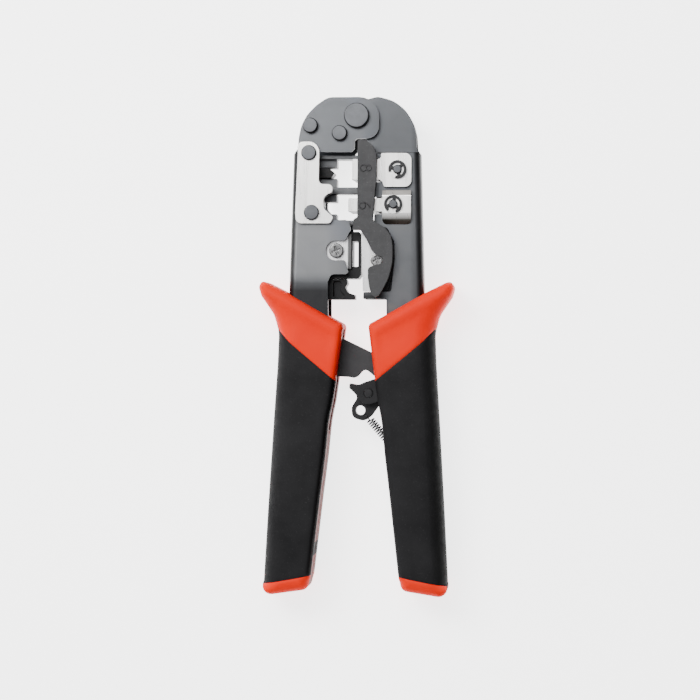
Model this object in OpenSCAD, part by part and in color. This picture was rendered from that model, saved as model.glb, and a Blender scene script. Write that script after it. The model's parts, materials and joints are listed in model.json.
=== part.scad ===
// Modular-plug crimping tool, lying flat: +X right, +Y towards the head, +Z up.
// Outlines are drawn about the main pivot, then moved into the frame by lift().

/* [Size] */
// Distance from the pivot down to the ends of the grips, mm
grip_end = 192.6; // [180:0.1:205]
// Thickness of the grips, mm
grip_thick = 22; // [18:0.5:26]
// Thickness of the frame sheet, mm
sheet = 2.0; // [1.5:0.1:2.5]
// Thickness of the ram plates, mm
ram_sheet = 1.6; // [1.2:0.1:2]
// Radius of the main pivot rivet's head, mm
pivot_head_r = 5.0; // [4:0.1:6]
// Radius of the heads of the four small rivets, mm
rivet_head_r = 3.05; // [2.4:0.05:3.3]
// Radius of the main pivot's sleeve, mm
pivot_r = 3.5; // [3:0.1:4]
// Radius of the right frame's ear about the pawl pin, mm
ear_r = 4.55; // [4:0.05:5]
// Running clearance of pins and sleeves, mm
clear = 0.05; // [0.02:0.01:0.1]

/* [Ratchet] */
// Radius of the rack about the main pivot, mm
rack_r = 105; // [100:0.5:110]
// Pitch of the rack teeth, degrees about the pivot
rack_pitch = 0.87; // [0.7:0.01:1.2]
// Depth of the rack teeth, mm
tooth_deep = 0.8; // [0.5:0.1:1]
// Thickness of the rack plate, mm
rack_thick = 2.5; // [2:0.1:3]

/* [Springs] */
// Outer diameter of the pawl spring, mm
spring_d = 3.6; // [3:0.1:4.5]

/* [Hidden] */
$fn = 48;
sh = sheet;
zl = 6;             // inner face of the left plates, from the mid-plane
zlo = zl + sh;      // outer face of the left plates
zro = 5.9;          // outer face of the right plates
zr = zro - sh;      // inner face of the right plates
zp = 6.0;           // under the ram plates and the long blade
gh = grip_thick / 2;
y_shift = (grip_end - 7.6) / 2;
P = [5.0, -110.8];  // pawl pin
A = [15.6, -133.6]; // spring anchor
H = [3.1, -119.1];  // spring hook in the pawl's ring
pin8 = [16.4, -21.5];
pin6 = [14.8, -35.4];
rivets = [[-18.6, -3.9], [-6.8, -7.0], [-19, -14.9], [-17.8, -38.8]];
peg1 = [11.6, -51];
peg2 = [10.6, -64.5];
screw_l = [-8, -53.9];
screw_r = [8.3, -57.7];
rack_rivet = [[-15.5, -90.5], [-18.5, -99.5]];
tilt = 1.65;

module lift() { translate([0, y_shift, gh]) children(); }

// ---- outline helpers: points are [x, y, corner radius]
function unit(v) = v / norm(v);
function xy(p) = [p[0], p[1]];
function corner(a, b, c, r, n) =
    r <= 0 ? [b] :
    let (u = unit(a - b), w = unit(c - b),
         h = acos(max(-1, min(1, u * w))) / 2)
    h > 89 ? [b] :
    let (t = min(r / tan(h), 0.49 * norm(a - b), 0.49 * norm(c - b)),
         q = t * tan(h),
         m = b + unit(u + w) * q / sin(h),
         s = b + u * t - m, e = b + w * t - m,
         a0 = atan2(s[1], s[0]), a1 = atan2(e[1], e[0]),
         d = ((a1 - a0 + 540) % 360) - 180)
    [for (k = [0:n]) m + q * [cos(a0 + d * k / n), sin(a0 + d * k / n)]];
function round_pts(p, n = 6) = let (c = len(p))
    [for (i = [0:c - 1])
        for (v = corner(xy(p[(i + c - 1) % c]), xy(p[i]), xy(p[(i + 1) % c]),
                        p[i][2], n)) v];
module outline(p, n = 6) { polygon(round_pts(p, n)); }
module slab(p, z0, z1, n = 6) {
    translate([0, 0, z0]) linear_extrude(z1 - z0) outline(p, n);
}
module both() { children(); mirror([0, 0, 1]) children(); }
module rod(p, r, z0, z1) { translate([p[0], p[1], z0]) cylinder(r = r, h = z1 - z0); }

// ---- shared outlines
left_pts = [
    [-11.5, 7.5, 6], [9.0, 7.5, 8], [8.9, -9.2, 8], [-0.8, -9.1, 1.4],
    [-0.9, -13.2, 1], [-2.4, -14.8, 0.8], [-15.2, -14.8, 0.6],
    [-15.2, -27.6, 0.8], [-10.2, -28.0, 1], [-9.6, -30.8, 1.2],
    [-12.8, -32.6, 1.5], [-13.2, -36.2, 2], [-10.2, -39.8, 1.5],
    [-9.2, -41.7, 0.6], [-2.9, -41.6, 1.8], [-2.3, -45.8, 1.5],
    [-4.4, -49.9, 1], [-12.1, -49.9, 4], [-12.1, -57.9, 4],
    [-4.7, -57.7, 0.8], [-3.6, -61.1, 1],
    [-2.9, -62.6, 0.6], [-4.2, -63.4, 0.6], [-10.0, -63.4, 2],
    [-11.3, -66.4, 1.5], [-11.0, -88, 3], [-14, -118, 4],
    [-16, -136, 2], [-34, -136, 0], [-34, -16.4, 0],
    [-25.2, -15.0, 0.4], [-23.6, -13.2, 1], [-23.3, -8.4, 10],
    [-22.3, -3.9, 10], [-20.0, 0.5, 10], [-16.2, 4.4, 10]];
right_pts = concat([
    [-5.2, 5.1, 5], [-1.6, 6.6, 5], [4.4, 6.9, 3], [8.2, 7.9, 5], [14.6, 6.2, 12],
    [19.4, 2.4, 12], [22.4, -2.3, 12], [23.6, -7.2, 12],
    [24.0, -12.8, 1], [25.4, -15.0, 0.4], [34, -16.4, 0],
    [34, -138, 0], [14.6, -138, 1], [13.6, -128, 4], [11.0, -113.6, 1.5]],
    // the ear is round about the pawl pin
    [for (a = [300:-15:100]) [P[0] + ear_r * cos(a), P[1] + ear_r * sin(a), 0]],
    [[9.2, -104.6, 0.8], [12.2, -84, 2], [12.1, -73.2, 0.6], [2.8, -73.2, 0.5],
    [2.8, -70.4, 0.5], [14.0, -70.2, 1], [14.5, -65, 3], [15.4, -57, 5],
    [15.2, -50.4, 4], [12.2, -44.6, 2], [7.0, -43.4, 1], [7.0, -39.2, 0.5],
    [10.2, -39.2, 0.5], [10.2, -32.3, 0.5], [7.0, -32.3, 0.5],
    [7.0, -26.4, 0.5], [10.2, -26.4, 0.5], [10.2, -16.8, 0.5],
    [7.2, -16.4, 0.5], [6.2, -11.8, 3], [3, -8.8, 3],
    [-1.0, -7.4, 5], [-5.4, -5.0, 5], [-7.3, 0, 6]]);
retainer_pts = [
    [-23.6, -10.4, 4.4], [-23.5, -15, 0],
    [-24.4, -38.5, 3], [-24.2, -43.2, 4.2], [-10.3, -43.2, 1.4],
    [-9.0, -40.6, 1.2], [-13.0, -37.2, 3], [-13.0, -32.2, 3],
    [-9.2, -30.6, 1.6], [-9.7, -27.5, 1.8], [-14.9, -27.3, 1.6],
    [-14.7, -10.4, 4.4]];
grip_half = [
    [36.4, -66.9, 0.5], [39.3, -67.3, 2.6], [38.8, -71.8, 2],
    [33.1, -79.6, 8], [31.4, -88, 8], [32, -100, 20], [33.4, -121.8, 40],
    [35.6, -159, 40], [37.5, -192.6, 3.2], [18.9, -189.6, 2.6],
    [17.7, -184.4, 4], [14, -152, 40], [12, -135.8, 40],
    [10.7, -121.8, 30], [9, -113.8, 20], [7.9, -105.8, 20],
    [5.0, -83.6, 1.6], [12, -79.8, 10], [27.4, -71.1, 10]];
collar_cut = [[60, -85.0, 0], [31.4, -85.4, 0], [26.6, -90.5, 6],
    [20.8, -95.4, 6], [8, -106, 0], [-20, -129, 0], [-20, -40, 0],
    [60, -40, 0]];
cap_cut = [[60, -190.2, 0], [36.7, -187.6, 0], [19.5, -184.3, 0],
    [0, -181, 0], [0, -210, 0], [60, -210, 0]];
guard_pts = [
    [0.6, -9.9, 0.6], [2.6, -9.7, 3], [6.6, -11.6, 5], [8.2, -15.6, 5],
    [8.1, -26, 8], [6.8, -41.9, 1.5], [11.6, -44.8, 5], [14.2, -48, 6],
    [14.9, -53, 12], [14.7, -59.3, 14], [13.3, -64.9, 12], [11.2, -69.2, 8],
    [9.2, -72.4, 2.6], [6.8, -72.4, 2.4], [5.6, -68.6, 5], [5.0, -64.8, 8], [5.0, -60.8, 1.6],
    [8.6, -59.5, 2], [10.9, -59.2, 2], [11.1, -56.3, 2], [8.6, -56.0, 2],
    [6.6, -54.2, 3], [4.3, -49.5, 5], [1.8, -45.8, 1], [-1.3, -45.8, 0.6],
    [-0.9, -41.6, 0.8], [0.6, -40.7, 0.8]];
long_blade_pts = [
    [2.0, -46.6, 0.3], [7.5, -46.6, 1], [12.2, -51, 1], [12.2, -64, 1],
    [8.6, -70.2, 1], [2.75, -70.2, 0.3]];
short_blade_pts = [
    [-12.6, -49.6, 1], [-4.4, -49.6, 0.5], [-4.4, -47.2, 0.3],
    [-2.0, -47.2, 0.2], [-2.0, -61.2, 0.2], [-4.4, -61.2, 0.3],
    [-4.4, -58.2, 0.5], [-12.6, -58.2, 1]];
carrier_pts = [
    [7.4, -47.2, 0.5], [9.0, -46, 0.5], [11.4, -46, 1], [14.3, -50.2, 2],
    [14.9, -57, 4],
    [14.0, -65, 4], [12.6, -69.6, 0.8], [7.4, -69.6, 0.5]];
ram8_pts = [
    [9.8, -14.9, 0.6], [21.9, -14.9, 2.6], [21.9, -28.4, 2.6],
    [11.0, -28.4, 0.8], [10.3, -26.3, 0.6], [9.2, -25.5, 0.3],
    [-1.7, -25.5, 0.4], [-1.7, -17.3, 0.4], [9.0, -17.3, 0.3],
    [9.8, -16.5, 0.3]];
ram6_pts = [
    [10.4, -29.6, 0.5], [21.8, -29.6, 0.5], [21.8, -43.3, 1.8],
    [10.4, -43.3, 1.8], [10.4, -38.2, 0.3], [-3.2, -38.2, 0.4],
    [-3.2, -33.0, 0.4], [10.4, -33.0, 0.3]];
ram6_profile = [
    [-29.6, 6.0, 0], [-29.6, 7.1, 0.4], [-31.9, 8.1, 1.2],
    [-38.9, 8.1, 2], [-41.6, 7.5, 2], [-43.3, 6.1, 0], [-41.9, 6.0, 0],
    [-40.6, 6.3, 1.2], [-38.6, 6.6, 1.2], [-32.3, 6.6, 1], [-30.9, 6.0, 0]];
nest8_pts = [
    [-23.2, -15.4, 1], [-15.2, -15.4, 0], [-15.2, -30.9, 0],
    [-23.2, -30.9, 1]];
nest6_pts = [
    [-23.2, -31.0, 1], [-13.6, -31.0, 0], [-13.6, -43.4, 0],
    [-23.2, -43.4, 1]];
hook_pts = [
    [-24, -65.2, 0.5], [-4.2, -65.2, 0.3], [-3.7, -67.0, 1],
    [-4.7, -68.5, 1], [-3.5, -70.6, 1], [-0.8, -71.5, 0.3],
    [-0.7, -73.4, 0.3], [-24, -73.4, 0.5]];
pawl_pts = [
    [-2.9, -107.0, 0.6], [0.6, -107.6, 1], [3.4, -106.7, 1.5],
    [7.6, -107.2, 1], [10.2, -104.75, 0.2], [11.0, -105.1, 0.3],
    [10.6, -108.6, 1.5], [10.0, -112.6, 3], [8.6, -116.6, 3],
    [6.2, -120.0, 3], [3.4, -122.3, 3.4], [-1.8, -120.9, 3.4],
    [-2.0, -116.6, 3], [0.6, -112.4, 2], [-3.0, -108.9, 0.6]];

// ---- shared solids
module ustock(zo, zi) {
    translate([25.5, -15, 0]) rotate([0, 0, tilt]) translate([0, 0.5, 0])
        rotate([90, 0, 0]) linear_extrude(142) difference() {
            outline([[-60, -zo, 0], [0, -zo, 3], [0, zo, 3], [-60, zo, 0]]);
            outline([[-70, -zi, 0], [-sh, -zi, 1], [-sh, zi, 1], [-70, zi, 0]]);
        }
}
module button(p, r, z0, z1) {
    translate([p[0], p[1], z0]) rotate_extrude()
        polygon([[0, 0], [r, 0], [r, z1 - z0 - 0.5], [r - 0.15, z1 - z0 - 0.15],
                 [r - 0.5, z1 - z0], [0, z1 - z0]]);
}
module eclip(p, z0, turn) {
    translate([p[0], p[1], z0]) rotate([0, 0, turn]) linear_extrude(0.7)
        difference() {
            circle(r = 3.65);
            difference() {
                circle(r = 2.55);
                for (a = [0, 120, 240]) rotate([0, 0, a])
                    translate([0, -0.7]) square([3, 1.4]);
            }
            circle(r = 1.4);
            rotate([0, 0, 60]) polygon([[0, 0], [6, -3.2], [6, 3.2]]);
        }
}
module ram_slot(p, r) {
    for (d = [-1.35, 1.35]) rod([p[0], p[1] + d], r, -10, 10);
    translate([p[0] - r, p[1] - 1.35, -10]) cube([2 * r, 2.7, 20]);
}
module grip_body() {
    intersection() {
        slab(grip_half, -gh, gh);
        union() {
            translate([31.2, -84, 0]) rotate([0, 0, 3.4]) rotate([90, 0, 0])
                linear_extrude(120)
                    outline([[-60, -gh, 0], [0.3, -gh, 7], [0.3, gh, 7], [-60, gh, 0]]);
            intersection() {
                translate([38.6, -66, 0]) rotate([0, 0, 29.5])
                    translate([-60, -20, 0]) rotate([90, 0, 90]) linear_extrude(80)
                        outline([[-40, -gh, 0], [19.9, -gh, 5], [19.9, gh, 5],
                                 [-40, gh, 0]]);
                slab([[-20, -40, 0], [60, -40, 0], [60, -84.5, 0], [31.0, -84.5, 0],
                      [20, -96, 0], [-20, -96, 0]], -gh, gh);
            }
        }
        translate([4.2, -80, 0]) rotate([0, 0, 6.6]) translate([0, 20, 0])
            rotate([90, 0, 0]) linear_extrude(150)
                outline([[0, -gh, 3], [60, -gh, 0], [60, gh, 0], [0, gh, 3]]);
    }
}
// the black sleeve lies over the core between the two joint lines
module sleeve_zone() {
    difference() {
        slab([[-20, -60, 0], [60, -60, 0], [60, -210, 0], [-20, -210, 0]], -30, 30);
        slab(collar_cut, -31, 31);
        slab(cap_cut, -31, 31);
    }
}
module core_zone() {
    intersection() {
        slab([[6.4, -84, 0], [29, -84, 0], [30.8, -118, 10], [34.6, -184, 0],
              [34.6, -192, 0], [0, -192, 0], [0, -84, 0]], -9, 9);
        translate([-20, -250, -9]) cube([100, 200, 18]);
    }
}
module frame_pocket(zo) {
    // the steel channel's space, cut out of the grip's core
    translate([25.5 + clear, -15, 0]) rotate([0, 0, tilt]) translate([0, 0.5, 0])
        rotate([90, 0, 0]) linear_extrude(124.5)
            outline([[-19, -zo - clear, 0], [0, -zo - clear, 3],
                     [0, zo + clear, 3], [-19, zo + clear, 0]]);
}

// ---- fixed jaw
module web_zone() {
    // the folded outer strip of a channel, bends included
    translate([25.5, -15, 0]) rotate([0, 0, tilt]) translate([-3.2, -140, -20])
        cube([20, 140.5, 40]);
}
module left_web() color("#3a3b3d") lift() intersection() {
    left_channel();
    mirror([1, 0, 0]) web_zone();
}
module left_plate_front() color("#3a3b3d") lift() left_side(0);
module left_plate_back() color("#3a3b3d") lift() left_side(-20);
module left_side(z0) difference() {
    intersection() {
        left_channel();
        translate([-60, -200, z0]) cube([120, 250, 20]);
    }
    mirror([1, 0, 0]) web_zone();
}
module left_channel() difference() {
    intersection() {
        slab(left_pts, -zlo, zlo);
        union() {
            mirror([1, 0, 0]) ustock(zlo, zl);
            both() translate([-40, -14.5, zl]) cube([60, 30, sh]);
        }
    }
    rod([0, 0], pivot_r, -9, 9);
    for (p = rivets) rod(p, 1.6, -9, 9);
    for (p = rack_rivet) rod(p, 1.5, -9, 9);
}
module retainer() difference() {
    slab(retainer_pts, zlo, zlo + 1.6);
    for (i = [2, 3]) rod(rivets[i], 1.6, 0, 12);
}
module die_retainer_front() color("#e6e5e2") lift() retainer();
module die_retainer_back() color("#e6e5e2") lift() mirror([0, 0, 1]) retainer();
module nest_bar(y0, y1, x1, z0, z1) {
    translate([-15.3, y0, z0]) cube([x1 + 15.3, y1 - y0, z1 - z0]);
}
module die_nest_8p() color("#4a4b4d") lift() difference() {
    union() {
        slab(nest8_pts, -zl, zl);
        nest_bar(-17.0, -15.4, 6.8, -3.6, 3.6);
        nest_bar(-30.9, -28.2, 6.6, -3.6, 3.0);
        nest_bar(-20.2, -17.0, -8.5, -zl, 1.5);
        nest_bar(-28.2, -24.6, -8.5, -zl, 1.5);
    }
    rod(rivets[2], 1.6, -9, 9);
}
module latch_block() color("#232426") lift()
    slab([[-15.2, -20.3, 0], [-11.8, -20.3, 0.4], [-9.2, -22.4, 0.6],
          [-10.8, -24.5, 0.4], [-15.2, -24.5, 0]], -zl, 3.4);
module die_nest_6p() color("#4a4b4d") lift() difference() {
    union() {
        slab(nest6_pts, -zl, zl);
        translate([-13.7, -34.0, -zl]) cube([5.2, 3.0, zl + 1.5]);
        translate([-13.7, -41.5, -zl]) cube([5.2, 2.6, zl + 1.5]);
        translate([-13.7, -43.4, -3.6]) cube([18.9, 1.9, 6.6]);
    }
    rod(rivets[3], 1.6, -9, 9);
}
module cutting_block() color("#1c1d1f") lift() difference() {
    slab([[-23, -46.2, 1], [0.9, -46.2, 0.5], [1.8, -47.4, 0.5], [1.8, -63.4, 0.5],
          [0.6, -65, 0.5], [-23, -65, 1]], -zl, 4.5);
    slab([[-1.8, -50, 0.3], [0.6, -50, 0.3], [0.6, -60.2, 0.3],
          [-1.8, -60.2, 0.3]], -9, 9);
    rod(screw_l, 1.5, -2, 9);
}
module fixed_blade() color("#dcdcda") lift() difference() {
    slab(short_blade_pts, 4.5, 5.9);
    rod(screw_l, 1.5, 0, 9);
}
module cross_screw(p, r, z0, z1, deep) difference() {
    union() {
        button(p, r, z0, z1);
        rod(p, 1.5, deep, z0);
    }
    translate([p[0], p[1], z1]) for (a = [20, 110]) rotate([0, 0, a])
        translate([-r * 0.62, -0.35, -0.6]) cube([r * 1.24, 0.7, 1]);
}
module fixed_blade_screw() color("#c9c9c8") lift()
    cross_screw(screw_l, 2.9, 5.9, 7.6, -2);
module cable_hook() color("#1c1d1f") lift() difference() {
    slab(hook_pts, -3.7, 3.7);
    slab([[-9.4, -66, 1], [-6.2, -66, 1], [-6.6, -70, 2], [-4.0, -72.6, 1],
          [-9.4, -72.6, 1]], 2.5, 9);
}
module head_rivets() color("#333437") lift() {
    for (i = [0:3]) both() {
        rod(rivets[i], 1.6, 0, zlo + 0.5);
        if (i < 2) button(rivets[i], rivet_head_r, zlo, zlo + 2.2);
        else button(rivets[i], rivet_head_r, zlo + 1.6, gh);
    }
}
module main_pivot_rivet() color("#333437") lift() both() {
    rod([0, 0], pivot_r, 0, zlo + 0.5);
    button([0, 0], pivot_head_r, zlo, zlo + 2.2);
}
function pol(r, a) = [r * sin(a), -r * cos(a), 0];
module ratchet_rack() color("#35363a") lift() difference() {
    slab(concat(
        [[-23.0, -80.6, 1], [16.6, -99.8, 1], pol(rack_r - 1, 9.3)],
        [for (i = [4:-1:0]) for (k = [0:1])
            pol(k == 0 ? rack_r - tooth_deep : rack_r,
                4.45 + rack_pitch * (i + (k == 0 ? 0.95 : 0.15)))],
        [[7.6, -104.5, 0.3], [3.3, -101.0, 1.8], [0.4, -104.3, 1.2],
         [-1.2, -104.9, 0.5]],
        [for (a = [-1.6:-2.2:-12.7]) pol(rack_r - 0.4, a)]),
        -rack_thick / 2, rack_thick / 2, 5);
    for (p = rack_rivet) rod(p, 1.5, -5, 5);
}
module rack_rivets() color("#333437") lift() for (p = rack_rivet) both() {
    rod(p, 1.5, 0, zlo);
    rod(p, 3, rack_thick / 2, zl);
}
module left_grip_core() color("#f0562c") lift() mirror([1, 0, 0]) core_solid(zlo, 2.6, -126);
module left_grip_sleeve() color("#2b2b2d") lift() mirror([1, 0, 0]) sleeve_solid();

// ---- grips
module core_solid(zo, slot, y1) difference() {
    intersection() {
        grip_body();
        union() { slab(collar_cut, -31, 31); slab(cap_cut, -31, 31); core_zone(); }
    }
    frame_pocket(zo);
    translate([-5, y1, -slot]) cube([22, 220, 2 * slot]);
    translate([-5, -182, -0.6]) cube([18.2, 140, 1.2]);
}
module sleeve_solid() difference() {
    intersection() { grip_body(); sleeve_zone(); }
    core_zone();
    translate([-5, -200, -9]) cube([16.5, 110, 18]);
}

// ---- moving jaw
module right_web() color("#3a3b3d") lift() intersection() {
    right_channel();
    web_zone();
}
module right_plate_front() color("#3a3b3d") lift() right_side(0);
module right_plate_back() color("#3a3b3d") lift() right_side(-20);
module right_side(z0) difference() {
    intersection() {
        right_channel();
        translate([-60, -200, z0]) cube([120, 250, 20]);
    }
    web_zone();
}
module right_channel() difference() {
    intersection() {
        slab(right_pts, -zro, zro);
        union() {
            ustock(zro, zr);
            both() translate([-20, -14.5, zr]) cube([60, 30, sh]);
        }
    }
    rod([0, 0], pivot_r + clear, -9, 9);
    rod(P, 1.5, -9, 9);
    rod(A, 1.2, -9, 9);
    rod([pin8[0], pin8[1]], 1.8, -9, 9);
    rod([pin6[0], pin6[1]], 1.8, -9, 9);
}
module punch_guard() color("#2a2b2c") lift() {
    slab(guard_pts, 8.2, 10.5);
    intersection() {
        slab(guard_pts, 10.5, 10.9);
        slab([for (p = guard_pts)
            [p[0] + (p[0] < 4 ? 0.15 : -0.15), p[1], p[2]]], 10, 12);
    }
    rod(peg1, 1.3, 3, 8.2);
    rod(peg2, 1.3, 3, 8.2);
}
module long_blade() color("#e2e2e0") lift() difference() {
    slab(long_blade_pts, zp, zp + 1.4);
    rod(screw_r, 1.5, 0, 9);
    rod(peg1, 1.3, 0, 9);
    rod(peg2, 1.3, 0, 9);
}
module blade_screw() color("#c9c9c8") lift()
    cross_screw(screw_r, 2.5, zp + 1.4, 8.15, 1);
module blade_carrier() color("#1c1d1f") lift() difference() {
    union() {
        slab(carrier_pts, -3.9, zp);
        slab([[7.4, -44.6, 0.5], [23.2, -44.6, 1], [23.8, -72.4, 1], [7.4, -72.4, 0.5]],
             -3.9, 3.9);
    }
    rod(screw_r, 1.5, 1, 9);
    rod(peg1, 1.3, 3, 9);
    rod(peg2, 1.3, 3, 9);
}
module ram_pin(p, top) {
    both() {
        rod(p, 1.8, 0, top - 1.3);
        rod(p, 1.4, 0, top);
        button(p, 1.8, top - 0.55, top + 0.2);
    }
}
module pin_8p() color("#3b3c40") lift() ram_pin(pin8, 9.3);
module pin_6p() color("#3b3c40") lift() ram_pin(pin6, 9.8);
module washer(p, z0) difference() {
    rod(p, 3.75, z0, z0 + 0.3);
    rod(p, 1.8, z0 - 1, z0 + 2);
}
module ram_washers() color("#d6d6d4") lift() both() {
    washer(pin8, 7.66);
    washer(pin6, 8.16);
}
module e_clips() color("#2c2d30") lift() both() {
    eclip(pin8, 8.0, 165);
    eclip(pin6, 8.5, 200);
}
module pawl_pin() color("#2c2d30") lift() both() difference() {
    union() {
        rod(P, 1.5, 0, zro);
        button(P, 1.95, zro, zro + 0.6);
    }
    difference() {
        rod(P, 1.62, zro + 0.3, zro + 2);
        rod(P, 1.4, zro, zro + 3);
    }
}
module spring_anchors() color("#2c2d30") lift() {
    rod(A, 1.2, -zro, zro);
    rod([12.6, -2.6], 1.2, -zr, zr);
}
module right_grip_core() color("#f0562c") lift() core_solid(zro, 6.1, -133);
module right_grip_sleeve() color("#2b2b2d") lift() sleeve_solid();

// ---- rams
module ram8_plate() difference() {
    slab(ram8_pts, zp, zp + ram_sheet);
    ram_slot(pin8, 2.0);
}
module ram_8p_front() color("#e6e5e2") lift() ram8_plate();
module ram_8p_back() color("#e6e5e2") lift() mirror([0, 0, 1]) ram8_plate();
module ram6_plate() difference() {
    intersection() {
        slab(ram6_pts, 5, 9);
        translate([-10, 0, 0]) rotate([90, 0, 90]) linear_extrude(40)
            outline(ram6_profile, 5);
    }
    ram_slot(pin6, 2.0);
}
module ram_6p_front() color("#e6e5e2") lift() ram6_plate();
module ram_6p_back() color("#e6e5e2") lift() mirror([0, 0, 1]) ram6_plate();
module punch(x0, x1, y0, y1, z, n) {
    translate([x0, y0, -z]) cube([x1 - x0, y1 - y0, 2 * z]);
    w = (y1 - y0) / n;
    for (i = [0:n - 1]) translate([x0 - 0.7, y0 + w * (i + 0.3), -3.4])
        cube([0.9, w * 0.4, 6.8]);
}
module punch_8p() color("#b9bab9") lift() punch(-1.6, 8.6, -25.4, -17.4, zp, 8);
module punch_6p() color("#b9bab9") lift() punch(-3.1, 8.2, -38.1, -33.1, 6.6, 6);

// ---- ratchet pawl and springs
module pawl() color("#2c2d30") lift() difference() {
    union() {
        slab(pawl_pts, -2, 2);
        rod(P, 3.2, -3.7, 3.7);
    }
    rod(P, 1.5 + clear, -5, 5);
    rod([1.6, -117.9], 1.9, -5, 5);
}
module coil(p, q, ro, ri, lead) {
    d = q - p; n = norm(d);
    translate([p[0], p[1], 0]) rotate([0, 0, atan2(d[1], d[0])]) rotate([0, 90, 0])
        translate([0, 0, lead]) difference() {
            cylinder(r = ro, h = n - 2 * lead);
            translate([0, 0, -1]) cylinder(r = ri, h = n);
        }
}
module pawl_spring() color("#3a3b3d") lift() {
    coil(H, A, spring_d / 2, spring_d / 2 - 0.5, 3.2);
}
module opening_spring() color("#3a3b3d") lift() {
    difference() {
        rod([0, 0], 5.2, -3.2, 3.2);
        rod([0, 0], 4.2, -4, 4);
    }
}

left_plate_front();
left_plate_back();
left_web();
die_retainer_front();
die_retainer_back();
die_nest_8p();
latch_block();
die_nest_6p();
cutting_block();
fixed_blade();
fixed_blade_screw();
cable_hook();
head_rivets();
main_pivot_rivet();
ratchet_rack();
rack_rivets();
left_grip_core();
left_grip_sleeve();
right_plate_front();
right_plate_back();
right_web();
punch_guard();
long_blade();
blade_screw();
blade_carrier();
pin_8p();
pin_6p();
ram_washers();
e_clips();
pawl_pin();
spring_anchors();
right_grip_core();
right_grip_sleeve();
ram_8p_front();
ram_8p_back();
punch_8p();
ram_6p_front();
ram_6p_back();
punch_6p();
pawl();
pawl_spring();
opening_spring();
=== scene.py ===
import json
import math

import bmesh
import bpy
import numpy as np
from mathutils import Matrix, Vector
from mathutils.geometry import delaunay_2d_cdt


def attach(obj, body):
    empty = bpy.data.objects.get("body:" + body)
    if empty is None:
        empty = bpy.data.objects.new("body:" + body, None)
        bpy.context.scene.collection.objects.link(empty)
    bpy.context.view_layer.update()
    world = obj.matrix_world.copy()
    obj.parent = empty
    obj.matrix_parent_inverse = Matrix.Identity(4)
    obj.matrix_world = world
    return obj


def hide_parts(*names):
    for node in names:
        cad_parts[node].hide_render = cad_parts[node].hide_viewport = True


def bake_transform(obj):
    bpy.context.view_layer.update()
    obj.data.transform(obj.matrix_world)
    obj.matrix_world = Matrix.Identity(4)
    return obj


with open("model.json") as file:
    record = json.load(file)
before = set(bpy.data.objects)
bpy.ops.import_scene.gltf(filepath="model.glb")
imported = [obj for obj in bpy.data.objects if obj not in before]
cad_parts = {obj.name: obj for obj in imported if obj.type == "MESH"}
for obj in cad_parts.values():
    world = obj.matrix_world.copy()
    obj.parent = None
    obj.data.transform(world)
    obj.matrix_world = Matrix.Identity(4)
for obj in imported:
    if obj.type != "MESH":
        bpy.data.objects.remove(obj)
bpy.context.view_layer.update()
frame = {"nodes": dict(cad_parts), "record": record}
NODES = frame["nodes"]
SLOT = {s["node"]: s["material_slot"] for s in frame["record"]["subparts"]}
PIVOT_Y = 92.5      # the main pivot's place in the shared frame, mm
MID_Z = 11.0        # the tool's mid-plane, mm
WELD = 2e-6         # vertices closer than this are one, m


def place(x, y, z=0.0):
    """A point about the main pivot and mid-plane, in mm, in the shared frame in metres."""
    return Vector((x / 1000, (y + PIVOT_Y) / 1000, (z + MID_Z) / 1000))


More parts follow.
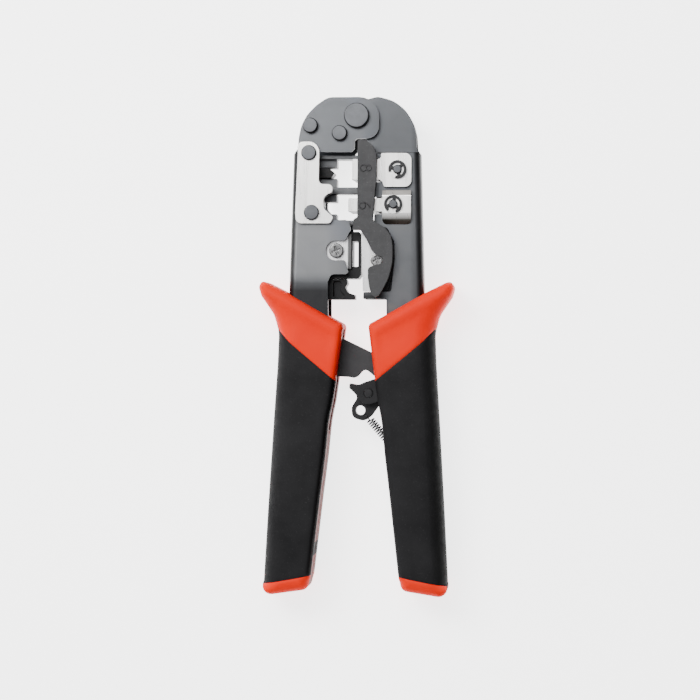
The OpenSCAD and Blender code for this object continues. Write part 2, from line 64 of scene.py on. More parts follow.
# ------------------------------------------------------------ material builder
class Mat:
    """A small node builder over one Principled shader."""

    def __init__(self, name, rough=0.5, metal=0.0, **fixed):
        self.material = bpy.data.materials.new(name)
        self.material.use_nodes = True
        self.tree = self.material.node_tree
        self.shader = self.tree.nodes["Principled BSDF"]
        self.shader.inputs["Metallic"].default_value = metal
        self.shader.inputs["Roughness"].default_value = rough
        for key, value in fixed.items():
            self.shader.inputs[key.replace("_", " ")].default_value = value
        self.coords = self.tree.nodes.new("ShaderNodeTexCoord")

    def link(self, a, b):
        self.tree.links.new(a, b)

    def noise(self, scale, detail=3.0, rough=0.5, stretch=(1, 1, 1)):
        """Noise over the object's own coordinates, from 0 to 1."""
        mapping = self.tree.nodes.new("ShaderNodeMapping")
        mapping.inputs["Scale"].default_value = stretch
        self.link(self.coords.outputs["Object"], mapping.inputs["Vector"])
        n = self.tree.nodes.new("ShaderNodeTexNoise")
        n.inputs["Scale"].default_value = scale
        n.inputs["Detail"].default_value = detail
        n.inputs["Roughness"].default_value = rough
        self.link(mapping.outputs["Vector"], n.inputs["Vector"])
        return n.outputs["Fac"]

    def ramp(self, factor, stops):
        """A colour ramp; stops are (position, colour)."""
        r = self.tree.nodes.new("ShaderNodeValToRGB")
        marks = r.color_ramp.elements
        while len(marks) < len(stops):
            marks.new(0.5)
        for mark, (position, color) in zip(marks, stops):
            mark.position = position
            mark.color = (*color, 1)
        self.link(factor, r.inputs["Fac"])
        return r.outputs["Color"]

    def span(self, value, low, high, start=0.3, stop=0.7):
        """Goes from low to high while value goes from start to stop, and stays there."""
        r = self.tree.nodes.new("ShaderNodeMapRange")
        for key, v in (("From Min", start), ("From Max", stop), ("To Min", low),
                       ("To Max", high)):
            r.inputs[key].default_value = v
        self.link(value, r.inputs["Value"])
        return r.outputs["Result"]

    def times(self, a, b):
        n = self.tree.nodes.new("ShaderNodeMath")
        n.operation = "MULTIPLY"
        self.link(a, n.inputs[0])
        self.link(b, n.inputs[1])
        return n.outputs[0]

    def mix(self, factor, color, other):
        """The linked color where factor is 0, the fixed colour other where it is 1."""
        n = self.tree.nodes.new("ShaderNodeMix")
        n.data_type = "RGBA"
        self.link(factor, n.inputs["Factor"])
        a, b = ([i for i in n.inputs if i.name == key and i.type == "RGBA"][0]
                for key in "AB")
        self.link(color, a)
        b.default_value = (*other, 1)
        return [o for o in n.outputs if o.type == "RGBA"][0]

    def split(self, output, keys):
        n = self.tree.nodes.new("ShaderNodeSeparateXYZ")
        self.link(self.coords.outputs[output], n.inputs[0])
        return [n.outputs[key] for key in keys]

    def axes(self, keys="XY"):
        """Where the surface is, in metres."""
        return self.split("Object", keys)

    def normal(self, key):
        """How far the surface faces along one axis, from -1 to 1."""
        return self.split("Normal", key)[0]

    def painted_edge_shade(self, color, amount, dark):
        """Painted shade: darkens what turns away from facing straight up or down."""
        z = self.normal("Z")
        return self.mix(self.span(self.times(z, z), amount, 0, 0.55, 0.95), color, dark)

    def color(self, out):
        self.link(out, self.shader.inputs["Base Color"])

    def rough(self, out):
        self.link(out, self.shader.inputs["Roughness"])

    def bump(self, height, strength, distance, under=None):
        b = self.tree.nodes.new("ShaderNodeBump")
        b.inputs["Strength"].default_value = strength
        b.inputs["Distance"].default_value = distance
        self.link(height, b.inputs["Height"])
        if under is not None:
            self.link(under.outputs["Normal"], b.inputs["Normal"])
        self.link(b.outputs["Normal"], self.shader.inputs["Normal"])
        return b


def shades(color, dark, light):
    """A colour made darker and lighter, for the two ends of a ramp."""
    return tuple(v * dark for v in color), tuple(v * light for v in color)


# ------------------------------------------------------------ shades by place
def flange_and_edge_shade(m, c):
    """Painted shade on the 6P ram's two bent flanges, which lean away from the light, and
    on every edge of the polished steel.
    """
    x, y = m.axes()
    ram = m.span(x, 0, 1, 0.0080, 0.0085)
    low = m.times(ram, m.span(y, 1, 0, 0.0508, 0.0532))
    c = m.mix(low, c, (0.028, 0.024, 0.019))
    high = m.times(m.span(y, 0, 0.6, 0.0604, 0.0610), m.span(y, 1, 0, 0.0630, 0.0634))
    c = m.mix(m.times(ram, high), c, (0.20, 0.17, 0.14))
    return m.painted_edge_shade(c, 0.75, (0.045, 0.038, 0.032))


def ground_bevel_shade(m, c):
    """Painted shade on the ground bevel along the short blade's cutting edge."""
    x = m.axes("X")[0]
    edge = m.times(m.span(x, 0, 1, -0.0037, -0.0033), m.span(x, 1, 0, -0.0018, -0.0015))
    return m.mix(edge, c, (0.085, 0.085, 0.085))


def small_part_edge_shade(m, c):
    """Painted shade darkens the edges of rivets, pins and the pawl to nearly black."""
    return m.painted_edge_shade(c, 0.9, (0.005, 0.005, 0.006))


def guard_edge_shade(m, c):
    """Painted shade makes the guard's side walls darker than its face."""
    return m.painted_edge_shade(c, 0.85, (0.004, 0.004, 0.004))


def core_strip(m, c):
    """The core's strip between the sleeves sits in their shade."""
    y, z = m.axes("YZ")
    strip = m.times(m.span(z, 0, 1, 0.0046, 0.0052), m.span(z, 1, 0, 0.0168, 0.0174))
    return m.mix(m.times(strip, m.span(y, 0.9, 0, 0.004, 0.010)), c, (0.075, 0.006, 0.002))


def right_sides(m, c):
    """What faces right is away from the key light."""
    return m.mix(m.span(m.normal("X"), 0, 0.85, 0.3, 0.7), c, (0.002, 0.002, 0.002))


def frame_shade(m, c):
    """Painted shade where the sheet turns from the light at its bends and dips, and at its
    edges, head, arm and tail; painted light on its left plate.
    """
    x, y = m.axes()
    on_left = m.span(x, 1, 0, -0.001, 0.001)
    on_right = m.span(x, 0, 1, -0.001, 0.001)
    right_bend = m.span(x, 0, 0.92, 0.0215, 0.0262)
    c = m.mix(right_bend, c, (0.010, 0.010, 0.011))
    left_bend = m.span(x, 0.5, 0, -0.0268, -0.0238)
    c = m.mix(left_bend, c, (0.030, 0.031, 0.033))
    dip = m.times(m.span(y, 0.93, 0, 0.0225, 0.0285), on_left)
    c = m.mix(dip, c, (0.010, 0.010, 0.011))
    head = m.times(m.span(x, 0, 0.32, 0.002, 0.009), m.span(y, 0, 1, 0.072, 0.080))
    c = m.mix(head, c, (0.012, 0.013, 0.015))
    left_plate = m.times(m.span(x, 0.6, 0, -0.012, 0.0), m.span(y, 1, 0, 0.046, 0.056))
    left_plate = m.times(left_plate, m.span(y, 0, 1, 0.0255, 0.0300))
    c = m.mix(left_plate, c, (0.185, 0.188, 0.192))
    arm = m.times(m.span(y, 0.9, 0, 0.0205, 0.0225), m.span(x, 1, 0, 0.0100, 0.0135))
    c = m.mix(m.times(arm, on_right), c, (0.014, 0.014, 0.015))
    tail = m.span(y, 0.85, 0, 0.004, 0.016)
    c = m.mix(tail, c, (0.016, 0.016, 0.017))
    return m.painted_edge_shade(c, 0.95, (0.006, 0.006, 0.007))


# ------------------------------------------------------------ materials
def frame_steel():
    """Black-oxide sheet, with faint blue and brown from its heat treatment."""
    m = Mat("frame_steel", 0.36, 0.75, Specular_IOR_Level=0.5)
    c = m.ramp(m.noise(28, 4, 0.6), [(0.3, (0.077, 0.081, 0.087)),
                                     (0.55, (0.087, 0.091, 0.097)),
                                     (0.75, (0.097, 0.099, 0.103))])
    blue = m.span(m.noise(60, 2, 0.5, (1, 0.6, 1)), 0.0, 0.35, 0.58, 0.74)
    c = m.mix(blue, c, (0.067, 0.081, 0.115))
    brown = m.span(m.noise(75, 2, 0.5, (0.7, 1, 1)), 0.0, 0.4, 0.60, 0.76)
    c = m.mix(brown, c, (0.122, 0.104, 0.081))
    m.color(frame_shade(m, c))
    m.rough(m.span(m.noise(220, 4, 0.6), 0.33, 0.46))
    m.bump(m.noise(2600, 2), 0.08, 0.00004)
    return m.material


def polished(name, base, metal, rough=(0.24, 0.36), shade=None):
    """Bright steel, with its grain along Y."""
    m = Mat(name, 0.2, metal)
    dull, full = shades(base, 0.93, 1)
    c = m.ramp(m.noise(900, 3, 0.6, (1, 0.06, 1)), [(0.3, dull), (0.7, full)])
    m.color(shade(m, c) if shade else c)
    m.rough(m.span(m.noise(500, 3, 0.5, (1, 0.08, 1)), *rough))
    m.bump(m.noise(3000, 2, 0.5, (1, 0.05, 1)), 0.05, 0.00002)
    return m.material


def dark_metal(name, base, metal, rough, grain=2200, strength=0.15, specular=0.5,
               shade=None):
    """Oxidised steel, slightly mottled."""
    m = Mat(name, 0.4, metal, Specular_IOR_Level=specular)
    dark, light = shades(base, 0.8, 1.2)
    c = m.ramp(m.noise(160, 4, 0.6), [(0.3, dark), (0.7, light)])
    m.color(shade(m, c) if shade else c)
    m.rough(m.span(m.noise(300, 3), *rough))
    m.bump(m.noise(grain, 2), strength, 0.00004)
    return m.material


def plastic(name, dark, light, rough, grain, strength, distance, speck=None,
            specular=0.3, shade=None):
    """Moulded plastic or rubber: fine grain over a slight waviness."""
    m = Mat(name, 0.5, 0.0, Specular_IOR_Level=specular)
    c = m.ramp(m.noise(45, 4, 0.6), [(0.35, dark), (0.65, light)])
    if speck:
        c = m.mix(m.span(m.noise(1700, 2, 0.6), 0.0, 0.6, 0.62, 0.74), c, speck)
    m.color(shade(m, c))
    m.rough(m.span(m.noise(400, 3), *rough))
    under = m.bump(m.noise(grain, 2, 0.6), strength, distance)
    m.bump(m.noise(90, 2), 0.06, 0.0003, under)
    return m.material


MATERIALS = {
    "frame_steel": frame_steel(),
    "polished_steel": polished("polished_steel", (0.93, 0.92, 0.90), 0.6, shade=flange_and_edge_shade),
    "blade_steel": polished("blade_steel", (0.86, 0.86, 0.86), 0.7, shade=ground_bevel_shade),
    "screw_steel": polished("screw_steel", (0.24, 0.24, 0.24), 0.9, (0.2, 0.32)),
    "die_steel": dark_metal("die_steel", (0.075, 0.077, 0.080), 0.7, (0.32, 0.5)),
    "black_steel": dark_metal("black_steel", (0.0045, 0.0045, 0.005), 0.4, (0.34, 0.5),
                              specular=0.3),
    "rivet_steel": dark_metal("rivet_steel", (0.076, 0.079, 0.085), 0.75, (0.32, 0.44),
                              shade=small_part_edge_shade),
    "pawl_steel": dark_metal("pawl_steel", (0.015, 0.015, 0.016), 0.6, (0.32, 0.46),
                             shade=small_part_edge_shade),
    "rack_steel": dark_metal("rack_steel", (0.021, 0.021, 0.023), 0.35, (0.5, 0.62),
                             grain=1500, strength=0.3),
    "spring_steel": dark_metal("spring_steel", (0.04, 0.04, 0.042), 0.85, (0.28, 0.4)),
    "guard_plastic": plastic("guard_plastic", (0.028, 0.028, 0.030),
                             (0.040, 0.040, 0.042), (0.5, 0.66), grain=2300,
                             strength=0.45, distance=0.00008,
                             speck=(0.085, 0.085, 0.088), shade=guard_edge_shade),
    "orange_plastic": plastic("orange_plastic", (0.74, 0.014, 0.0004),
                              (0.80, 0.020, 0.0006), (0.42, 0.54), grain=2600,
                              strength=0.12, distance=0.00003, specular=0.05,
                              shade=core_strip),
    "black_rubber": plastic("black_rubber", (0.0125, 0.0125, 0.0132),
                            (0.0190, 0.0190, 0.0200), (0.52, 0.7), grain=2000,
                            strength=0.5, distance=0.00010,
                            speck=(0.034, 0.034, 0.035), specular=0.04,
                            shade=right_sides),
}
# pieces that look different from their CAD slot
LOOK = {**dict.fromkeys(("head_rivets", "main_pivot_rivet", "pin_8p", "pin_6p"),
                        "rivet_steel"),
        **dict.fromkeys(("pawl", "pawl_pin", "spring_anchors", "e_clips"), "pawl_steel")}


# ------------------------------------------------------------ CAD pieces
FRAME_BEVEL = 0.35      # mm
PIECE_BEVEL = 0.2       # mm, apart from these
BEVEL = {"die_retainer_front": 0.25, "die_retainer_back": 0.25, "punch_guard": 0.45,
         "head_rivets": 0.0, "main_pivot_rivet": 0.0, "ratchet_rack": 0.15, "pawl": 0.3,
         "ram_washers": 0.0, "e_clips": 0.12, "pawl_pin": 0.0}
FOLDED = {"left_frame_look": ("fixed_jaw", "left_web", "left_plate_front",
                              "left_plate_back"),
          "right_frame_look": ("moving_jaw", "right_web", "right_plate_front",
                               "right_plate_back")}


def new_object(name, mesh):
    ob = bpy.data.objects.new(name, mesh)
    bpy.context.scene.collection.objects.link(ob)
    return ob


def finish_edges(ob, bevel):
    """Welds, flattens, bevels (in mm) and shades one piece, so its flats stay flat."""
    for p in ob.data.polygons:
        p.use_smooth = True
    weld = ob.modifiers.new("weld", "WELD")
    weld.merge_threshold = 2 * WELD
    flat = ob.modifiers.new("flat", "DECIMATE")
    flat.decimate_type = "DISSOLVE"
    flat.angle_limit = math.radians(1.0)
    if bevel:
        b = ob.modifiers.new("bevel", "BEVEL")
        b.width = bevel / 1000
        b.segments = 2
        b.limit_method = "ANGLE"
        b.angle_limit = math.radians(40)
        b.harden_normals = True
    n = ob.modifiers.new("flats", "WEIGHTED_NORMAL")
    n.mode = "FACE_AREA"
    n.weight = 100
    n.thresh = 0.001


def in_place(name, node):
    """A copy of a CAD node's mesh, in the shared frame and without doubles."""
    bm = bmesh.new()
    bm.from_mesh(node.data)
    bm.transform(node.matrix_world)
    bmesh.ops.remove_doubles(bm, verts=bm.verts, dist=WELD)
    mesh = bpy.data.meshes.new(name)
    bm.to_mesh(mesh)
    bm.free()
    return new_object(name, mesh)


def folded(name, body, nodes):
    """A frame as the one bent sheet it is: its CAD nodes joined without seams."""
    copies = [in_place(f"{name}_{node}", NODES[node]) for node in nodes]
    for other in copies[1:]:
        join = copies[0].modifiers.new("join", "BOOLEAN")
        join.operation = "UNION"
        join.solver = "EXACT"
        join.object = other
    bpy.context.view_layer.update()
    graph = bpy.context.evaluated_depsgraph_get()
    mesh = bpy.data.meshes.new_from_object(copies[0].evaluated_get(graph))
    for copy in copies:
        bpy.data.objects.remove(copy)
    mesh.name = name
    mesh.materials.clear()
    mesh.materials.append(MATERIALS["frame_steel"])
    ob = new_object(name, mesh)
    finish_edges(ob, FRAME_BEVEL)
    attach(ob, body)
    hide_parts(*nodes)


for name, (body, *nodes) in FOLDED.items():
    folded(name, body, nodes)
for name, node in NODES.items():
    node.data.materials.clear()
    node.data.materials.append(MATERIALS[LOOK.get(name, SLOT[name])])
    finish_edges(node, BEVEL.get(name, PIECE_BEVEL))


def mesh_object(name, verts, faces, material, body=None, split=40):
    """A smooth piece that rides on a body, with hard edges past split degrees."""
    mesh = bpy.data.meshes.new(name)
    mesh.from_pydata([tuple(v) for v in verts], [], faces)
    mesh.validate()
    ob = new_object(name, mesh)
    bm = bmesh.new()
    bm.from_mesh(mesh)
    bmesh.ops.remove_doubles(bm, verts=bm.verts, dist=WELD)
    bmesh.ops.recalc_face_normals(bm, faces=bm.faces)
    for f in bm.faces:
        f.smooth = True
    bm.to_mesh(mesh)
    bm.free()
    mesh.materials.append(MATERIALS[material])
    hard = ob.modifiers.new("split", "EDGE_SPLIT")
    hard.split_angle = math.radians(split)
    if body:
        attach(ob, body)
    return ob


# ------------------------------------------------------------ outlines
def rounded(corners, steps=6):
    """A closed outline from corners (x, y, radius), with arcs at the corners."""
    out = []
    count = len(corners)
    for i, (*_, r) in enumerate(corners):
        before, corner, after = (np.array(corners[(i + k) % count][:2], float)
                                 for k in (-1, 0, 1))
        u, w = before - corner, after - corner
        len_u, len_w = np.linalg.norm(u), np.linalg.norm(w)
        u, w = u / len_u, w / len_w
        half = math.acos(max(-1, min(1, float(u @ w)))) / 2
        if r <= 0 or half > math.radians(89):
            out.append(corner)
            continue
        reach = min(r / math.tan(half), 0.49 * len_u, 0.49 * len_w)
        r = reach * math.tan(half)
        centre = corner + (u + w) / np.linalg.norm(u + w) * r / math.sin(half)
        s, e = corner + u * reach - centre, corner + w * reach - centre
        a0, a1 = math.atan2(s[1], s[0]), math.atan2(e[1], e[0])
        turn = (a1 - a0 + 3 * math.pi) % (2 * math.pi) - math.pi
        for k in range(steps + 1):
            a = a0 + turn * k / steps
            out.append(centre + r * np.array([math.cos(a), math.sin(a)]))
    return np.array(out)


def resample(points, step, closed=True):
    """The same line with its edges no longer than step."""
    out = []
    count = len(points)
    for i in range(count if closed else count - 1):
        a, b = points[i], points[(i + 1) % count]
        pieces = max(1, math.ceil(np.linalg.norm(b - a) / step))
        out += [a + (b - a) * j / pieces for j in range(pieces)]
    if not closed:
        out.append(points[-1])
    return np.array(out)


def distances(q, a, b):
    """Distance from each point q to each segment a-b."""
    ab = b - a
    length2 = np.maximum((ab ** 2).sum(1), 1e-12)
    d = q[:, None, :] - a[None]
    t = np.clip((d * ab[None]).sum(2) / length2[None], 0, 1)
    return np.linalg.norm(d - t[..., None] * ab[None], axis=2)


def inside(q, outline):
    """Which of the points q are inside a closed outline."""
    x, y = q[:, 0], q[:, 1]
    found = np.zeros(len(q), bool)
    for (x0, y0), (x1, y1) in zip(outline, np.roll(outline, -1, axis=0)):
        if y0 != y1:
            found ^= ((y0 > y) != (y1 > y)) & (x < (x1 - x0) * (y - y0) / (y1 - y0) + x0)
    return found


def ramp01(value, start, length):
    """Goes from 0 to 1 while value goes length past start."""
    return np.clip((value - start) / length, 0, 1)


# ------------------------------------------------------------ grips
# right grip, corners as (x, y, radius) in mm about the main pivot
GRIP = [(35.6, -66.8, 1.2), (38.0, -66.0, 2.2), (39.3, -68.4, 2.4), (38.2, -72.2, 3),
        (33.4, -79.6, 10), (31.5, -87, 12), (32, -100, 20), (33.4, -121.8, 60),
        (35.6, -159, 60), (37.4, -192.6, 3.6), (18.9, -189.8, 3.2),
        (17.7, -184.4, 6), (14, -152, 60), (12, -135.8, 60), (10.7, -121.8, 60),
        (9, -113.8, 40), (7.9, -105.8, 40), (5.0, -83.4, 1.8), (12, -79.6, 14),
        (27.4, -70.9, 20)]
COLLAR = rounded([(60, -85.0, 0), (31.4, -85.4, 0), (26.6, -90.5, 6), (20.8, -95.4, 6),
                  (8, -106, 0), (-20, -129, 0), (-20, -40, 0), (60, -40, 0)])
CAP = rounded([(60, -190.2, 0), (36.7, -187.6, 0), (19.5, -184.3, 0), (0, -181, 0),
               (0, -210, 0), (60, -210, 0)])
COLLAR_TOP = np.array([[5.0, -83.4]]), np.array([[36.4, -66.6]])
COLLAR_LOW = -84                    # the collar's raised top edge is above this
HALF = 11.0                         # half the grip's thickness
OUTLINE = resample(rounded(GRIP), 0.8)
START, STOP = OUTLINE, np.roll(OUTLINE, -1, axis=0)
MIDDLE = (START + STOP) / 2
TOP, OUTER, INNER, END = range(4)
EDGE_RADIUS = {TOP: 3.6, OUTER: 8.4, INNER: 2.9, END: 4.6}
LIP_RADIUS = 4.2                    # the outer edge is tighter at the lip
RINGS = (0.2, 0.6, 1.1, 1.8, 2.7, 3.8, 5.2)     # rows of vertices inside the edge
CORE_HALF = 6.1                     # half the orange strip between the sleeves
GROOVE_HALF = 0.7                   # half the parting groove along it
WALL_LEVELS = (CORE_HALF, 2.6, GROOVE_HALF, -GROOVE_HALF, -2.6, -CORE_HALF)
GROOVE_DEPTH = 0.5
SLOT_TOP = -85.5                    # the inner side's opening starts here
SLOT_DEPTH = 2.4
STRIP_TAB = (-176, -171)            # the sleeve bridges the orange strip here
DISH_DEPTH = 0.55
SEAM_DEPTH = 0.32
SEAM_WIDTH = 0.38


def side_of(middle):
    """Which of the grip's four sides each edge of the outline belongs to."""
    side = np.full(len(middle), INNER)
    side[middle[:, 0] > 20 + (-84 - middle[:, 1]) * 0.085] = OUTER
    side[middle[:, 1] < -186.5] = END
    along_top = distances(middle, *COLLAR_TOP)[:, 0] < 0.9
    side[along_top & (middle[:, 1] > COLLAR_LOW)] = TOP
    return side


def seams():
    """The lines where the black sleeve meets the orange collar and cap."""
    x, y = COLLAR.T
    across = COLLAR[(2 < x) & (x < 58) & (-112 < y) & (y < -84)]
    collar = np.vstack([[45, -85.2], resample(across, 0.6, False), [0, -112.6]])
    cap = np.array([[41, -188.3], [36.7, -187.6], [19.5, -184.3], [14, -183.3]])
    return collar, resample(cap, 0.8, False)


SIDE = side_of(MIDDLE)
SEAMS = seams()


def seam_distance(q):
    return np.minimum(*(distances(q, s[:-1], s[1:]).min(1) for s in SEAMS))


def edge_distance(q):
    return distances(q, START, STOP).min(1)


def orange(q):
    """Which of the points q are on the collar or the cap."""
    return inside(q, COLLAR) | inside(q, CAP)


def height(q):
    """Half the thickness at points q: rounded edges, a dished collar and seam grooves."""
    drop = np.zeros(len(q))
    for side, r in EDGE_RADIUS.items():
        near = SIDE == side
        d = distances(q, START[near], STOP[near]).min(1)
        if side == OUTER:
            lip = ramp01(q[:, 1], COLLAR_LOW, 12)
            r = r * (1 - lip) + LIP_RADIUS * lip
        d = np.minimum(d, r)
        drop += (r - np.sqrt(np.maximum(r * r - (r - d) ** 2, 0))) ** 3
    z = HALF - np.cbrt(drop)
    # the collar's face is dished behind its raised upper edge
    from_top = distances(q, *COLLAR_TOP)[:, 0]
    dish = ramp01(from_top, 4.2, 2.2) * np.clip((17 - from_top) / 9, 0, 1)
    dish = dish * dish * (3 - 2 * dish)
    inner = SIDE == INNER
    clear = ramp01(distances(q, START[inner], STOP[inner]).min(1), 1.5, 3)
    seam = np.exp(-(seam_distance(q) / SEAM_WIDTH) ** 2)
    return z - DISH_DEPTH * dish * clear - SEAM_DEPTH * seam


def inward(middle, along):
    """Unit normals of the outline's edges, pointing into it."""
    n = np.stack([along[:, 1], -along[:, 0]], 1)
    n /= np.maximum(np.linalg.norm(n, axis=1)[:, None], 1e-9)
    if not inside((middle + n * 0.05)[:1], OUTLINE)[0]:
        n = -n
    return n


def inner_points():
    """Vertices inside the outline: rings by the edge, a grid, and rows along the seams."""
    n = inward(MIDDLE, STOP - START)
    free = []
    for d in RINGS:
        q = MIDDLE + n * d
        free.append(q[(edge_distance(q) > d * 0.96) & inside(q, OUTLINE)])
    x, y = np.meshgrid(np.arange(4, 41, 1.1), np.arange(-194, -65, 1.3))
    x = x + (np.arange(x.shape[0])[:, None] % 2) * 0.55
    grid = np.stack([x.ravel(), y.ravel()], 1)
    grid = grid[inside(grid, OUTLINE)]
    free.append(grid[edge_distance(grid) > 5.6])
    free = np.vstack(free)
    free = free[seam_distance(free) > 0.9]
    rows = []
    for seam in SEAMS:
        t = np.gradient(seam, axis=0)
        t /= np.linalg.norm(t, axis=1)[:, None]
        across = np.stack([t[:, 1], -t[:, 0]], 1)
        rows += [seam + across * d for d in (-0.8, -0.35, 0.35, 0.8)]
    rows = np.vstack(rows)
    rows = rows[inside(rows, OUTLINE)]
    return np.vstack([free, rows[edge_distance(rows) > 0.25]])


def triangulate():
    """The grip's face in plan: its vertices, triangles and the triangles' centres."""
    points = [Vector(p) for p in OUTLINE]
    lines = [(i, (i + 1) % len(OUTLINE)) for i in range(len(OUTLINE))]
    for seam in SEAMS:
        first = len(points)
        points += [Vector(p) for p in seam]
        lines += [(first + i, first + i + 1) for i in range(len(seam) - 1)]
    points += [Vector(p) for p in inner_points()]
    plan, _, triangles, *_ = delaunay_2d_cdt(points, lines, [], 0, 1e-4)
    plan = np.array([tuple(v) for v in plan])
    triangles = [t for t in triangles if len(t) == 3]
    centres = np.array([plan[list(t)].mean(0) for t in triangles])
    keep = inside(centres, OUTLINE)
    return plan, [t for t, k in zip(triangles, keep) if k], centres[keep]


def border(triangles):
    """The edges that belong to one triangle only."""
    seen = {}
    for a, b, c in triangles:
        for edge in ((a, b), (b, c), (c, a)):
            seen.setdefault(tuple(sorted(edge)), []).append(edge)
    return [edges[0] for edges in seen.values() if len(edges) == 1]


PLAN, TRIANGLES, CENTRES = triangulate()
HEIGHT = height(PLAN)
BORDER = border(TRIANGLES)


class Shell:
    """One list of vertices with two lists of faces, by colour."""

    def __init__(self):
        self.verts = []
        self.faces = {"orange": [], "black": []}

    def quad(self, color, *corners):
        first = len(self.verts)
        self.verts += corners
        self.faces[color].append(tuple(range(first, first + 4)))


def add_faces(shell):
    """The front face and the back one, its mirror image about the mid-plane."""
    count = len(PLAN)
    for sign in (1, -1):
        shell.verts += [(*p, sign * z) for p, z in zip(PLAN, HEIGHT)]
    for (a, b, c), is_orange in zip(TRIANGLES, orange(CENTRES)):
        faces = shell.faces["orange" if is_orange else "black"]
        faces.append((a, b, c))
        faces.append((c + count, b + count, a + count))


def add_wall(shell, a, b, slot, slot_end):
    """The wall from front to back below one border edge, in rows by WALL_LEVELS."""
    middle = (PLAN[a] + PLAN[b]) / 2
    side = SIDE[distances(middle[None], START, STOP).argmin()]
    on_sleeve = not orange(middle[None])[0]
    into = inward(middle[None], (PLAN[b] - PLAN[a])[None])[0]
    in_slot = side == INNER and slot_end < middle[1] < SLOT_TOP
    rows = [[z, *(max(-z, min(z, level)) for level in WALL_LEVELS), -z]
            for z in (HEIGHT[a], HEIGHT[b])]
    for a0, a1, b0, b1 in zip(rows[0], rows[0][1:], rows[1], rows[1][1:]):
        if abs(a0 - a1) < 1e-6 and abs(b0 - b1) < 1e-6:
            continue
        level = abs(a0 + a1) / 2
        if in_slot and level < slot:
            continue
        core_row = level < CORE_HALF and side == INNER
        tab = STRIP_TAB[0] < middle[1] < STRIP_TAB[1]
        black = on_sleeve and not (core_row and not tab)
        groove = GROOVE_DEPTH if core_row and on_sleeve and level < GROOVE_HALF else 0.0
        low_a, low_b = PLAN[a] + into * groove, PLAN[b] + into * groove
        shell.quad("black" if black else "orange",
                   (*low_a, a0), (*low_b, b0), (*low_b, b1), (*low_a, a1))
        if groove:
            for z in (a0, a1):
                shell.quad("orange", (*PLAN[a], z), (*PLAN[b], z), (*low_b, z),
                           (*low_a, z))
    if in_slot:
        deep_a, deep_b = PLAN[a] + into * SLOT_DEPTH, PLAN[b] + into * SLOT_DEPTH
        for z in (slot, -slot):
            shell.quad("orange", (*PLAN[a], z), (*PLAN[b], z), (*deep_b, z), (*deep_a, z))


def grip(name, mirror, body, slot, slot_end):
    """One grip; slot is half the width of its inner side's opening, down to slot_end."""
    shell = Shell()
    add_faces(shell)
    for a, b in BORDER:
        add_wall(shell, a, b, slot, slot_end)
    verts = np.array([tuple(place(mirror * x, y, z)) for x, y, z in shell.verts])
    for color, part, material in (("orange", "core", "orange_plastic"),
                                  ("black", "sleeve", "black_rubber")):
        used = sorted({i for f in shell.faces[color] for i in f})
        index = {old: new for new, old in enumerate(used)}
        faces = [tuple(index[i] for i in f) for f in shell.faces[color]]
        ob = mesh_object(f"{name}_grip_{part}_look", verts[used], faces, material, body,
                         split=50)
        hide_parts(f"{name}_grip_{part}")


grip("left", -1, "fixed_jaw", slot=2.6, slot_end=-126)
grip("right", 1, "moving_jaw", slot=6.1, slot_end=-133)


# ------------------------------------------------------------ springs and marks
def tube(name, path, radius, material, body=None, sides=8):
    """A round bar along points in the shared frame; radius in metres."""
    verts, faces = [], []
    up = (path[1] - path[0]).orthogonal().normalized()
    last = len(path) - 1
    for i, p in enumerate(path):
        along = (path[min(i + 1, last)] - path[max(i - 1, 0)]).normalized()
        up = (up - along * up.dot(along)).normalized()
        across = along.cross(up)
        for k in range(sides):
            a = 2 * math.pi * k / sides
            verts.append(p + (up * math.cos(a) + across * math.sin(a)) * radius)
    for i in range(last):
        for k in range(sides):
            a, b = i * sides + k, i * sides + (k + 1) % sides
            faces.append((a, b, b + sides, a + sides))
    faces.append(tuple(reversed(range(sides))))
    faces.append(tuple(last * sides + k for k in range(sides)))
    return mesh_object(name, verts, faces, material, body, split=60)


def pawl_spring():
    """The tension spring from the pawl's ring to its anchor in the right grip."""
    start, stop, ring = place(3.1, -119.1), place(15.6, -133.6), place(4.3, -120.5)
    along = (stop - start).normalized()
    across = Vector((along.y, -along.x, 0))
    up = Vector((0, 0, 1))
    lead, tail = 0.0036, 0.003              # straight ends, m
    coil = (stop - start).length - lead - tail
    turns, steps, radius = 12, 18, 0.00155
    path = []
    for k in range(9):                      # the hook through the pawl's ring
        a = math.pi * (1.15 - k / 8)
        path.append(ring + along * 0.0017 * math.cos(a) + up * 0.0026 * math.sin(a))
    for i in range(turns * steps + 1):
        a = 2 * math.pi * i / steps
        path.append(start + along * (lead + coil * i / (turns * steps))
                    + (across * math.cos(a) + up * math.sin(a)) * radius)
    path.append(stop - along * 0.0018)
    path.append(stop - along * 0.0004 + across * 0.0012)
    wire = tube("pawl_spring_wire", path, 0.00026, "spring_steel")
    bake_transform(wire)
    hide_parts("pawl_spring")


def opening_spring():
    """The torsion spring round the main pivot's sleeve, with a leg on each frame."""
    turns, steps, radius, half = 5, 24, 4.7, 2.3
    path = [place(-10.5, -8.6, half), place(-5.0, -1.5, half)]
    count = turns * steps
    for i in range(count + 1):
        a = math.radians(170) - 2 * math.pi * i / steps
        path.append(place(radius * math.cos(a), radius * math.sin(a),
                          half - 2 * half * i / count))
    path += [place(2.0, 5.4, -half), place(14.2, 0.2, -half)]
    wire = tube("opening_spring_wire", path, 0.00045, "spring_steel", "fixed_jaw")
    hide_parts("opening_spring")


def mark(name, x, y, centre, radii, start=0, stop=360, steps=18):
    """An arc of a raised numeral on the guard, which reads from the right."""
    path = []
    for i in range(steps + 1):
        a = math.radians(start + (stop - start) * i / steps)
        u, v = centre[0] + radii[0] * math.cos(a), centre[1] + radii[1] * math.sin(a)
        path.append(place(x + 1.2 * v, y - 1.15 * u, 10.95))
    tube(name, path, 0.0003, "guard_plastic", "moving_jaw", sides=6)


pawl_spring()
opening_spring()
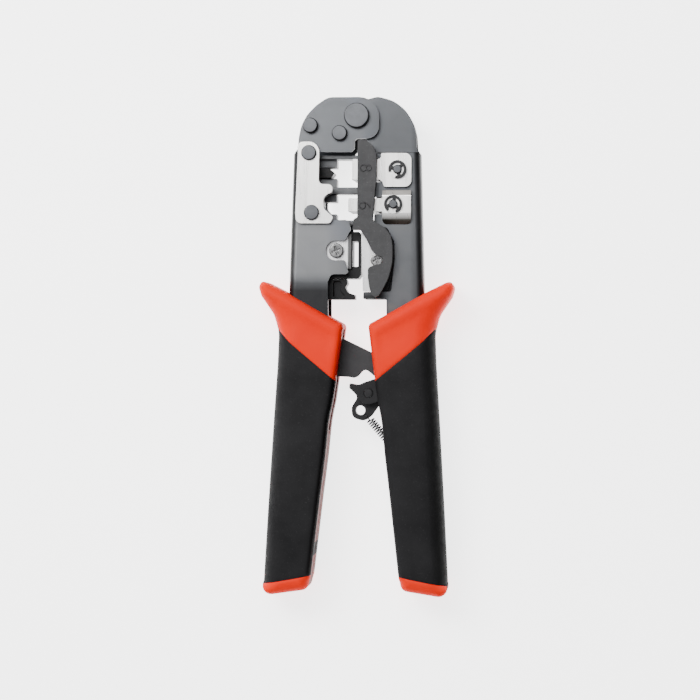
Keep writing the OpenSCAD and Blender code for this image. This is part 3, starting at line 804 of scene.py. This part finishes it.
# the plug's number of ways beside each cavity, in plain strokes
mark("mark_8_low", 4.0, -21.2, (0, -0.95), (1.1, 0.95))
mark("mark_8_high", 4.0, -21.2, (0, 0.85), (0.9, 0.85))
mark("mark_6_bowl", 3.6, -36.2, (0, -0.85), (1.05, 1.0))
mark("mark_6_tail", 3.6, -36.2, (0.95, -0.6), (2.0, 2.4), 175, 95, 10)


# ------------------------------------------------------------ stage
def pale_floor():
    """A glowing white floor just under the grips, for the photo's white ground."""
    bpy.ops.mesh.primitive_plane_add(size=4, location=(0, 0, -0.0002))
    floor = bpy.context.object
    floor.name = "floor"
    m = Mat("floor", 0.75, Emission_Color=(1, 1, 1, 1), Emission_Strength=3.2)
    m.color(m.ramp(m.noise(3, 2), [(0.3, (0.94, 0.94, 0.94)), (0.7, (0.96, 0.96, 0.96))]))
    floor.data.materials.append(m.material)


def studio():
    """A world that is dark low on the right and bright high up on the left."""
    world = bpy.data.worlds.new("studio")
    bpy.context.scene.world = world
    world.use_nodes = True
    tree = world.node_tree
    sky = tree.nodes.new("ShaderNodeTexCoord")
    lean = tree.nodes.new("ShaderNodeVectorMath")
    lean.operation = "DOT_PRODUCT"
    lean.inputs[1].default_value = (-0.36, 0.32, 0.876)
    tree.links.new(sky.outputs["Generated"], lean.inputs[0])
    dome = tree.nodes.new("ShaderNodeValToRGB")
    marks = dome.color_ramp.elements
    marks.new(0.6)
    for stop, (position, v) in zip(marks, ((0.30, 0.02), (0.62, 0.28), (0.92, 1.0))):
        stop.position = position
        stop.color = (v, v, v * 1.03, 1)
    tree.links.new(lean.outputs["Value"], dome.inputs["Fac"])
    background = tree.nodes["Background"]
    tree.links.new(dome.outputs["Color"], background.inputs["Color"])
    background.inputs["Strength"].default_value = 0.9


def area(name, location, target, size, power, color=(1, 1, 1)):
    lamp = bpy.data.lights.new(name, "AREA")
    lamp.shape = "RECTANGLE"
    lamp.size, lamp.size_y = size
    lamp.energy = power
    lamp.color = color
    ob = new_object(name, lamp)
    ob.location = location
    ob.rotation_euler = (Vector(target) - ob.location).to_track_quat("-Z", "Y").to_euler()


def camera():
    """The photo's viewpoint: nearly straight down, from 0.8 m, slightly rolled."""
    eye, target = Vector((0.070, -0.003, 0.800)), Vector((-0.00293, -0.00114, 0.011))
    roll = 0.00574                          # radians
    cam = new_object("camera", bpy.data.cameras.new("camera"))
    cam.location = eye
    back = (eye - target).normalized()
    level = Vector((0, 1, 0)).cross(back).normalized()
    right = level * math.cos(roll) + back.cross(level) * math.sin(roll)
    cam.rotation_euler = Matrix((right, back.cross(right), back)).transposed().to_euler()
    cam.data.sensor_width = 36
    cam.data.lens = 100.94
    cam.data.clip_start = 0.01
    bpy.context.scene.camera = cam


pale_floor()
studio()
area("key", (-0.35, 0.32, 0.55), (0, 0, 0), (0.30, 0.30), 4.6, (1.0, 0.985, 0.96))
area("top", (-0.10, 0.36, 0.72), (0, 0.06, 0), (0.5, 0.3), 4.5)
area("low", (0.0, -0.55, 0.35), (0, -0.05, 0), (0.5, 0.25), 0.8)
camera()
